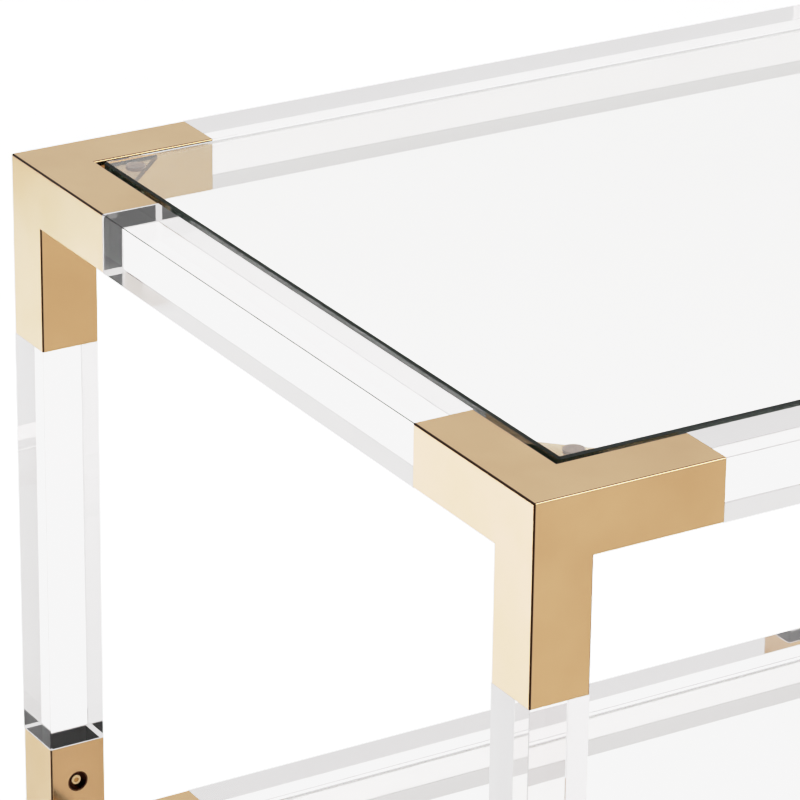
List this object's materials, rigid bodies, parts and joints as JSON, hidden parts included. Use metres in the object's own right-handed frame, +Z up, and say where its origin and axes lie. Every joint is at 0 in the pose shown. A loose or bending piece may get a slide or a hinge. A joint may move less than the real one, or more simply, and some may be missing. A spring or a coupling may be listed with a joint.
{
  "type": "bar cart on wheels",
  "caption": "Rolling bar cart with clear acrylic bars, polished gold corner brackets, inset glass shelves and swivel casters.",
  "frame": {"origin": "on the floor under the middle of the cart", "axes": "+X along the cart's length, +Y from front to back, +Z up"},
  "size_m": [0.837, 0.4706, 0.8336],
  "materials": {
    "polished_gold": "polished",
    "fastener_gold": "polished",
    "clear_acrylic": "clear polished",
    "shelf_glass": "clear",
    "clear_bumper": "soft clear",
    "liner_black": "matte",
    "caster_gold": "polished",
    "caster_steel": "satin",
    "hub_plastic": "moulded",
    "tyre": "matte rubber",
    "brake_plastic": "moulded"
  },
  "bodies": {
    "frame": {"bottom_bracket_back_left": "polished_gold", "bottom_bracket_back_right": "polished_gold", "bottom_bracket_front_left": "polished_gold", "bottom_bracket_front_right": "polished_gold", "bottom_rail_back": "clear_acrylic", "bottom_rail_front": "clear_acrylic", "bottom_rail_left": "clear_acrylic", "bottom_rail_right": "clear_acrylic", "bottom_shelf_glass": "shelf_glass", "bracket_screws": "fastener_gold", "caster_stems": "caster_steel", "lower_leg_back_left": "clear_acrylic", "lower_leg_back_right": "clear_acrylic", "lower_leg_front_left": "clear_acrylic", "lower_leg_front_right": "clear_acrylic", "middle_bracket_back_left": "polished_gold", "middle_bracket_back_right": "polished_gold", "middle_bracket_front_left": "polished_gold", "middle_bracket_front_right": "polished_gold", "middle_rail_back": "clear_acrylic", "middle_rail_front": "clear_acrylic", "middle_rail_left": "clear_acrylic", "middle_rail_right": "clear_acrylic", "middle_shelf_glass": "shelf_glass", "screw_cups": "polished_gold", "shelf_bumpers": "clear_bumper", "socket_liners": "liner_black", "top_bracket_back_left": "polished_gold", "top_bracket_back_right": "polished_gold", "top_bracket_front_left": "polished_gold", "top_bracket_front_right": "polished_gold", "top_rail_back": "clear_acrylic", "top_rail_front": "clear_acrylic", "top_rail_left": "clear_acrylic", "top_rail_right": "clear_acrylic", "top_shelf_glass": "shelf_glass", "upper_leg_back_left": "clear_acrylic", "upper_leg_back_right": "clear_acrylic", "upper_leg_front_left": "clear_acrylic", "upper_leg_front_right": "clear_acrylic"},
    "fork_front_left": {"caster_fork_front_left": "caster_gold", "caster_axle_front_left": "caster_steel", "brake_pin_front_left": "caster_steel"},
    "wheel_front_left": {"wheel_hub_front_left": "hub_plastic", "wheel_tyre_front_left": "tyre"},
    "brake_front_left": {"brake_lever_front_left": "brake_plastic"},
    "fork_front_right": {"caster_fork_front_right": "caster_gold", "caster_axle_front_right": "caster_steel"},
    "wheel_front_right": {"wheel_hub_front_right": "hub_plastic", "wheel_tyre_front_right": "tyre"},
    "fork_back_left": {"caster_fork_back_left": "caster_gold", "caster_axle_back_left": "caster_steel", "brake_pin_back_left": "caster_steel"},
    "wheel_back_left": {"wheel_hub_back_left": "hub_plastic", "wheel_tyre_back_left": "tyre"},
    "brake_back_left": {"brake_lever_back_left": "brake_plastic"},
    "fork_back_right": {"caster_fork_back_right": "caster_gold", "caster_axle_back_right": "caster_steel"},
    "wheel_back_right": {"wheel_hub_back_right": "hub_plastic", "wheel_tyre_back_right": "tyre"}
  },
  "joints": [
    {"name": "swivel_front_left", "type": "hinge", "parent": "frame", "child": "fork_front_left", "pos_m": [-0.4035, -0.2203, 0.062], "axis": [0, 0, 1], "continuous": true},
    {"name": "roll_front_left", "type": "hinge", "parent": "fork_front_left", "child": "wheel_front_left", "pos_m": [-0.3855, -0.2203, 0.025], "axis": [0, 1, 0], "continuous": true},
    {"name": "brake_press_front_left", "type": "hinge", "parent": "fork_front_left", "child": "brake_front_left", "pos_m": [-0.3795, -0.2203, 0.054], "axis": [0, 1, 0], "range_deg": [0, 20]},
    {"name": "swivel_front_right", "type": "hinge", "parent": "frame", "child": "fork_front_right", "pos_m": [0.4035, -0.2203, 0.062], "axis": [0, 0, 1], "continuous": true},
    {"name": "roll_front_right", "type": "hinge", "parent": "fork_front_right", "child": "wheel_front_right", "pos_m": [0.3855, -0.2203, 0.025], "axis": [0, 1, 0], "continuous": true},
    {"name": "swivel_back_left", "type": "hinge", "parent": "frame", "child": "fork_back_left", "pos_m": [-0.4035, 0.2203, 0.062], "axis": [0, 0, 1], "continuous": true},
    {"name": "roll_back_left", "type": "hinge", "parent": "fork_back_left", "child": "wheel_back_left", "pos_m": [-0.3855, 0.2203, 0.025], "axis": [0, 1, 0], "continuous": true},
    {"name": "brake_press_back_left", "type": "hinge", "parent": "fork_back_left", "child": "brake_back_left", "pos_m": [-0.3795, 0.2203, 0.054], "axis": [0, 1, 0], "range_deg": [0, 20]},
    {"name": "swivel_back_right", "type": "hinge", "parent": "frame", "child": "fork_back_right", "pos_m": [0.4035, 0.2203, 0.062], "axis": [0, 0, 1], "continuous": true},
    {"name": "roll_back_right", "type": "hinge", "parent": "fork_back_right", "child": "wheel_back_right", "pos_m": [0.3855, 0.2203, 0.025], "axis": [0, 1, 0], "continuous": true}
  ]
}
